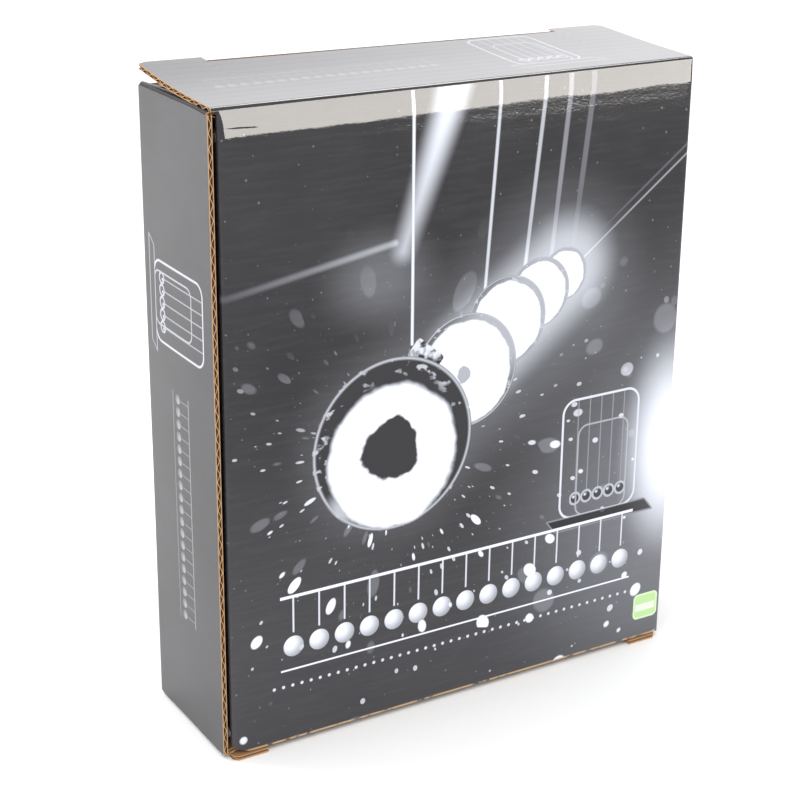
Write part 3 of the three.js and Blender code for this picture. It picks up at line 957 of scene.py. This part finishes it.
def make_lid(end, to_frame, ajar, shoulder, inset):
    half, side = RIGHT - shoulder, RIGHT - inset
    outer = spread(-side, -half - SLIT, 8) + spread(-half, half, 60) + spread(half + SLIT, side, 8)

    def span(x):
        _, hinge_end, lid_end = lid_route(x, ajar, abs(x) <= half)
        corner = max(0, abs(x) - side + TIP_CORNER)
        tip_reach = BOTTOM_TIP_REACH if end == "bottom" and abs(x) > half else 0
        return hinge_end, lid_end - corner + tip_reach

    def place(x, along, depth):
        route, hinge_end, lid_end = lid_route(x, ajar, False)
        sag = lid_sag(x, (along - hinge_end) / (lid_end - hinge_end)) if ajar else 0
        flutes = WASHBOARD * cos(along * 2 * pi / FLUTE_PITCH)
        waves = 0.04 * wobble(x, along, 25, 9)
        return to_frame(x, *route.at(along, depth + sag + flutes + waves))

    lid, tuck = f"{end}_lid", f"{end}_tuck_flap"
    ride(board(lid, outer, fine_rows(0, LID_TIP), span, place, PRINT_LID), lid, lid)

    def folded(x, along, depth):
        return to_frame(x, *lid_route(x, ajar, True)[0].at(along, depth))

    def hinge_span(x):
        return 0.0, lid_route(x, ajar, True)[1]

    def tuck_bend_span(x):
        lid_end = lid_route(x, ajar, True)[2]
        return lid_end, lid_end + BEND_RADIUS * TUCK_TURN

    def fold(name, columns, rows, across, ink, body_a, body_b):
        low, high = across(0)
        strip = crease(name, columns, spread(0, 1, rows), across, folded, ink)
        ends = blend_ends(lambda t: folded(0, low + (high - low) * t, 0))
        bend_between(strip, body_a, body_b, *ends)

    fold(f"{end}_lid_crease", spread(-side, side, 90), 8, hinge_span, PRINT_LID, "carton", lid)
    fold(f"{end}_tuck_crease", spread(-half, half, 60), 9, tuck_bend_span, PRINT_CREASE, lid, tuck)

    def tuck_span(x):
        start = tuck_bend_span(x)[1]
        corner = max(0, abs(x) - half + TUCK_CORNER)
        reach = TUCK_REACH - BEND_RADIUS - TUCK_TIP_GAP
        return start, start + reach - TUCK_CORNER + sqrt(max(TUCK_CORNER ** 2 - corner ** 2, 0.3))

    corners = spread(half - TUCK_CORNER, half, 8)
    middle = spread(TUCK_CORNER - half, half - TUCK_CORNER, 40)[1:-1]
    tuck_columns = [-x for x in reversed(corners)] + middle + corners
    ride(board(tuck, tuck_columns, spread(0, 1, 24), tuck_span, folded, PRINT_CREASE), tuck, tuck)


def blend_ends(place):
    """The start and end of a bend, drawn in a little."""
    start, end = (Vector(place(t)) * MM for t in (0, 1))
    inset = (end - start) * 0.08
    return start + inset, end - inset


def make_dust_flap(end, side, to_frame):
    sign = -1 if side == "left" else 1
    name = f"{end}_{side}_dust_flap"
    low, high = cad(name)
    near, far = (low.y - FRONT, high.y - FRONT) if end == "top" else (BACK - high.y, BACK - low.y)
    bend_end = SIDE_BEND * (QUARTER + HUMP_DIP)
    reach = bend_end + DUST_REACH - SIDE_BEND

    @lru_cache(maxsize=None)
    def route(u):
        """Round the hump, down under the lid, and then level."""
        hump = side_top(to_frame(0, u, 0)[1], end, side)
        rounded = (SIDE_BEND + LEVEL_OFF) * (1 - cos(HUMP_DIP))
        slope = max(0.0, hump - rounded) / sin(HUMP_DIP)
        bent = Route((0.0, hump - SIDE_BEND)).bend(SIDE_BEND, QUARTER + HUMP_DIP).run(slope)
        return bent.bend(-LEVEL_OFF, -HUMP_DIP).run(DUST_REACH)

    def place(u, along, depth):
        across, out = route(u).at(along, depth)
        if side == "left":
            across -= seam_spring(to_frame(0, u, 0)[1]) * (1 - smooth_step(along / bend_end))
        return to_frame(sign * (RIGHT - across), u, out - DUST_FACE)

    def span(u):
        taper = bend_end + TAPER_ROOT + (u - near) / tan(DUST_TAPER)
        shelf = far - DUST_NOTCH
        if u > shelf:
            return bend_end, bend_end + NOTCH_REACH - (u - shelf) / DUST_NOTCH * NOTCH_SLOPE
        corner = max(0, u - shelf + DUST_CORNER)
        rounded = reach - DUST_CORNER + sqrt(DUST_CORNER ** 2 - corner ** 2)
        overlap = max(0, 1 - abs(taper - rounded) / DUST_CORNER) ** 2 * DUST_CORNER / 4
        return bend_end, min(taper, rounded) - overlap

    columns = spread(near, far - DUST_NOTCH, 44) + spread(far - DUST_NOTCH + SLIT, far, 6)
    pieces = board(name, columns, fine_rows(0, DUST_REACH, 1.2), span, place, PRINT_CREASE)
    ride(pieces, name, name)

    def bend_span(_):
        return 0.0, bend_end

    across = spread(near, far, 30)
    strip = crease(f"{end}_{side}_dust_crease", across, spread(0, 1, 8), bend_span, place, PRINT_CREASE)
    bend_between(strip, "carton", name, *blend_ends(lambda t: place((near + far) / 2, bend_end * t, 0)))


def bridge(work, rings):
    """Joins rings of points into a solid, with a flat face over each end."""
    for near, far in zip(rings, rings[1:]):
        for i in range(len(near)):
            k = (i + 1) % len(near)
            work.faces.new((near[i], near[k], far[k], far[i]))
    work.faces.new(rings[0])
    work.faces.new(rings[-1])


def sweep(name, points, radius, sides, slot):
    """A tube along a line of points, closed with chamfered ends."""
    work = bmesh.new()
    points = [Vector(p) for p in points]
    headings = [(points[min(i + 1, len(points) - 1)] - points[max(i - 1, 0)]).normalized()
                for i in range(len(points))]
    chamfer = radius * 0.3
    first, last = headings[0], headings[-1]
    stations = [(points[0], first, radius - chamfer), (points[0] + first * chamfer, first, radius)]
    stations += [(p, h, radius) for p, h in zip(points[1:-1], headings[1:-1])]
    stations += [(points[-1] - last * chamfer, last, radius), (points[-1], last, radius - chamfer)]
    side = headings[0].orthogonal().normalized()
    rings = []
    for centre, heading, size in stations:
        side = (side - heading * side.dot(heading)).normalized()
        other = heading.cross(side)
        rings.append([work.verts.new((centre + size * (side * cos(a) + other * sin(a))) * MM)
                      for a in spread(0, 2 * pi, sides)[:-1]])
    bridge(work, rings)
    return finish_work(name, work, KIT_MATERIALS[slot])


def lathe(name, profile, centre, axis, sides, slot):
    """A profile of (radius, height) turned about an axis through centre. It closes on itself, or on the
    axis where its first and last radius are 0."""
    work = bmesh.new()
    turn = Vector((0, 0, 1)).rotation_difference(Vector(axis)).to_matrix()
    open_ended = profile[0][0] == 0
    columns = []
    for angle in spread(0, 2 * pi, sides)[:-1]:
        columns.append([work.verts.new((Vector(centre) + turn @ Vector(
            (r * cos(angle), r * sin(angle), h))) * MM) for r, h in profile])
    count = len(profile)
    for i in range(sides):
        near, far = columns[i], columns[(i + 1) % sides]
        for j in range(count - 1 if open_ended else count):
            k = (j + 1) % count
            corners = [near[j], far[j], far[k], near[k]]
            if profile[j][0] == 0:
                corners = [near[j], far[k], near[k]]
            elif profile[k][0] == 0:
                corners = [near[j], far[j], near[k]]
            work.faces.new(corners)
    return finish_work(name, work, KIT_MATERIALS[slot])


def finish_work(name, work, material):
    mesh = bpy.data.meshes.new(name)
    work.to_mesh(mesh)
    work.free()
    mesh.materials.append(material)
    return finish_mesh(name, mesh)


def place_kit_piece(piece, body, node):
    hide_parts(node)
    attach(piece, body)


def rounded_profile(inner, outer, length, rounding):
    """A ring's section, with rounded outer edges."""
    half = length / 2
    points = [(inner, -half)]
    for height, start in ((rounding - half, -QUARTER), (half - rounding, 0)):
        points += [(outer - rounding + rounding * cos(a), height + rounding * sin(a))
                   for a in spread(start, start + QUARTER, 4)]
    return points + [(inner, half)]


def make_arches():
    for name in ("front", "rear"):
        low, high = cad(f"{name}_arch")
        radius = (high.y - low.y) / 2
        y, leg, beam = (low.y + high.y) / 2, high.x - radius, high.z - radius
        corner, shoulder = leg - ARCH_BEND, beam - ARCH_BEND
        left = [(-leg, y, z) for z in spread(low.z, shoulder, 6)[:-1]]
        left += [(-corner - ARCH_BEND * cos(a), y, shoulder + ARCH_BEND * sin(a))
                 for a in spread(0, QUARTER, 20)]
        bar = [(x, y, beam) for x in spread(-corner, corner, 8)[1:-1]]
        points = left + bar + [(-x, y, z) for x, y, z in reversed(left)]
        rod = sweep(f"{name}_arch_rod", points, radius, 28, "chrome")
        place_kit_piece(rod, "carton", f"{name}_arch")
        for number in range(1, 6):
            node = f"{name}_collar_{number}"
            low, high = cad(node)
            centre = (low + high) / 2
            outer, length = (high.z - low.z) / 2, high.x - low.x
            profile = rounded_profile(radius + COLLAR_PLAY, outer, length, COLLAR_ROUNDING)
            ring = lathe(f"{node}_ring", profile, centre, (1, 0, 0), 32, "collar_plastic")
            place_kit_piece(ring, "carton", node)


def ball_profile(radius, stem_radius, stem_top):
    """A ball with a short plain stem let into a small flat on its top."""
    flat = asin((stem_radius + 0.9) / radius)
    points = [(0, -radius)]
    points += [(radius * sin(a), -radius * cos(a)) for a in spread(0, pi - flat, 48)[1:]]
    shoulder = points[-1][1]
    return points + [(stem_radius + 0.3, shoulder + 0.02), (stem_radius, shoulder + 0.3),
                     (stem_radius, stem_top), (0, stem_top)]


def make_balls():
    for number in range(1, 6):
        body = f"ball_{number}"
        low, high = cad(body)
        centre, radius = (low + high) / 2, (high.z - low.z) / 2
        ring_low, ring_high = cad(f"eyelet_{number}")
        ring = (ring_low + ring_high) / 2
        outer = (ring_high.z - ring_low.z) / 2
        profile = ball_profile(radius, STEM_RADIUS, ring_low.z - centre.z + 0.05)
        ball = lathe(f"ball_{number}_polished", profile, centre, (0, 0, 1), 64, "chrome")
        place_kit_piece(ball, body, body)
        profile = rounded_profile(EYELET_BORE, outer, ring_high.y - ring_low.y, EYELET_ROUNDING)
        eyelet = lathe(f"eyelet_{number}_sleeve", profile, ring, (0, 1, 0), 28, "chrome")
        place_kit_piece(eyelet, body, f"eyelet_{number}")
        low, high = cad(f"line_{number}")
        radius = (high.x - low.x) / 2
        mouth = (ring_high.y - ring_low.y) / 2 + 0.3
        reach = (high.y - low.y) / 2 - radius
        leg = [(reach + (mouth - reach) * t, high.z + (ring.z - high.z) * t) for t in spread(0, 0.97, 10)]
        leg += [(mouth * 0.8, ring.z + 0.05), (mouth * 0.3, ring.z)]
        points = [(ring.x, ring.y - out, z) for out, z in leg]
        points += [(ring.x, ring.y + out, z) for out, z in reversed(leg)]
        line = sweep(f"line_{number}_nylon", points, radius, 10, "nylon_line")
        place_kit_piece(line, body, f"line_{number}")


def base_outline(half_x, half_z, radius):
    """A rounded rectangle's points, in order."""
    points = []
    for k in range(4):
        centre = (half_x - radius) * (1, -1, -1, 1)[k], (half_z - radius) * (1, 1, -1, -1)[k]
        points += [(centre[0] + radius * cos(a), centre[1] + radius * sin(a))
                   for a in spread(k * QUARTER, (k + 1) * QUARTER, 6)]
    return points


def make_base():
    """The base stands on its long edge, with its bevelled face and its four sockets to the front."""
    low, high = cad("base_plate")
    middle, thickness = (low + high) / 2, high.y - low.y
    half_x, half_z = (high.x - low.x) / 2, (high.z - low.z) / 2
    layers = [(0.6, 0), (0.15, 0.15), (0, 0.6), (0, thickness * 0.62), (0.3, thickness * 0.7),
              (BASE_BEVEL - 1.2, thickness - 0.5), (BASE_BEVEL - 0.6, thickness - 0.12),
              (BASE_BEVEL, thickness)]
    work = bmesh.new()
    rings = []
    for inset, height in layers:
        rings.append([work.verts.new(Vector((middle.x + x, high.y - height, middle.z + z)) * MM)
                      for x, z in base_outline(half_x - inset, half_z - inset, BASE_CORNER)])
    bridge(work, rings)
    plate = finish_work("base_plate_lacquered", work, KIT_MATERIALS["black_lacquer"])
    arch_low, arch_high = cad("front_arch")
    leg = arch_high.x - (arch_high.y - arch_low.y) / 2
    for x in (-leg, leg):
        for z in (middle.z - SOCKET_SPACING / 2, middle.z + SOCKET_SPACING / 2):
            drill(plate, (x, low.y + SOCKET_DEPTH / 2 - 0.5, z), SOCKET_RADIUS, SOCKET_DEPTH + 1)
    place_kit_piece(plate, "carton", "base_plate")
    for foot in ("front_left", "front_right", "back_left", "back_right"):
        node = f"base_foot_{foot}"
        low, high = cad(node)
        radius, thickness = (high.x - low.x) / 2, high.y - low.y
        profile = [(0, -thickness / 2), (radius * 0.55, -thickness / 2), (radius * 0.62, -thickness * 0.42)]
        profile += [(radius * 0.9, -thickness * 0.42), (radius * 0.97, -thickness * 0.25)]
        profile += [(radius, thickness * 0.1), (radius, thickness / 2), (0, thickness / 2)]
        piece = lathe(f"{node}_pad", profile, (low + high) / 2, (0, -1, 0), 36, "foot_rubber")
        place_kit_piece(piece, "carton", node)


def drill(piece, centre, radius, length):
    """Cuts a round hole along Y, with a small countersink at its mouth."""
    half = length / 2
    wide = radius + 0.5
    profile = [(0, -half), (radius, -half), (radius, half - 1.3), (wide, half - 0.5), (wide, half), (0, half)]
    tool = lathe("drill", profile, centre, (0, -1, 0), 32, "black_lacquer")
    cut = piece.modifiers.new("drill", "BOOLEAN")
    cut.operation, cut.solver, cut.object = "DIFFERENCE", "EXACT", tool
    graph = bpy.context.evaluated_depsgraph_get()
    mesh = bpy.data.meshes.new_from_object(piece.evaluated_get(graph))
    piece.modifiers.clear()
    piece.data = mesh
    bpy.data.objects.remove(tool)


def make_foam():
    for node in ("foam_bottom_rail", "foam_top_left_block", "foam_top_right_block"):
        piece = frame["nodes"][node]
        piece.data.materials.clear()
        piece.data.materials.append(KIT_MATERIALS["foam"])
        soften = piece.modifiers.new("soft_edges", "BEVEL")
        soften.width, soften.segments, soften.limit_method = FOAM_ROUNDING * MM, 2, "ANGLE"
        soften.angle_limit = radians(40)


# ---- studio ----
def make_floor():
    work = bmesh.new()
    corners = [Vector((x, y, 0)) * FLOOR_REACH for x, y in ((-1, -1), (1, -1), (1, 1), (-1, 1))]
    work.faces.new([work.verts.new(corner) for corner in corners])
    paint = Paint("white_floor", Roughness=0.6, Specular_IOR_Level=0.0)
    paint.colour(paint.noise(400, 2), (0.93, 0.93, 0.93), (0.95, 0.95, 0.95))
    floor = finish_work("floor", work, paint.material)


def soft_box(name, centre, target, size, radiance, colour=(1, 1, 1), lights_surfaces=False):
    """A rectangular light, of which only the reflection shows unless it lights surfaces too."""
    data = bpy.data.lights.new(name, "AREA")
    data.shape, data.size, data.size_y = "RECTANGLE", size[0], size[1]
    data.energy, data.color = radiance * pi * size[0] * size[1], colour
    light = bpy.data.objects.new(name, data)
    bpy.context.scene.collection.objects.link(light)
    light.location = centre
    light.rotation_euler = (Vector(target) - Vector(centre)).to_track_quat("-Z", "Y").to_euler()
    light.visible_camera = False
    light.visible_diffuse = lights_surfaces


def make_world():
    world = bpy.data.worlds.new("studio")
    bpy.context.scene.world = world
    world.use_nodes = True
    background = world.node_tree.nodes["Background"]
    background.inputs["Color"].default_value = (1, 1, 1, 1)
    background.inputs["Strength"].default_value = 1.3


def make_camera():
    data = bpy.data.cameras.new("camera")
    data.sensor_width, data.lens = 36, LENS
    data.clip_start, data.clip_end = 0.01, 50
    camera = bpy.data.objects.new("camera", data)
    bpy.context.scene.collection.objects.link(camera)
    ahead, right = Vector(CAMERA_AHEAD).normalized(), Vector(CAMERA_RIGHT)
    right = (right - ahead * right.dot(ahead)).normalized()
    up = right.cross(ahead)
    turn = Matrix((right, up, -ahead)).transposed()
    camera.matrix_world = Matrix.Translation(CAMERA_PLACE) @ turn.to_4x4()
    bpy.context.scene.camera = camera


make_sleeve()
make_lid("top", top_frame, LID_AJAR, RIGHT - cad("top_tuck_flap")[1].x, TOP_LID_INSET)
make_lid("bottom", bottom_frame, 0.0, RIGHT - cad("bottom_tuck_flap")[1].x, BOTTOM_LID_INSET)
for closure_end, closure_frame in (("top", top_frame), ("bottom", bottom_frame)):
    for closure_side in ("left", "right"):
        make_dust_flap(closure_end, closure_side, closure_frame)

make_arches()
make_balls()
make_base()
make_foam()

make_floor()
make_world()
make_camera()
soft_box("warm_front", (0.62, -0.86, 0.32), (0.02, -0.03, 0.12), (0.9, 0.6), 20, (1.0, 0.96, 0.90))
soft_box("behind", (0.8, 1.28, 0.77), (0, 0, 0.22), (2.4, 0.46), 1.05, (0.94, 0.94, 1.0))
soft_box("overhead", (0.56, 0.34, 1.14), (0, 0, 0.2), (0.7, 0.4), 14)
soft_box("fill", (-0.7, -0.9, 1.2), (0, 0, 0), (1.0, 1.0), 1.4, (1, 1, 1), True)
soft_box("left_back", (-0.75, 0.85, 0.9), (-0.35, 0.45, 0), (0.6, 0.6), 6, (1.0, 0.97, 0.99), True)
bpy.context.scene.view_settings.view_transform = "Standard"
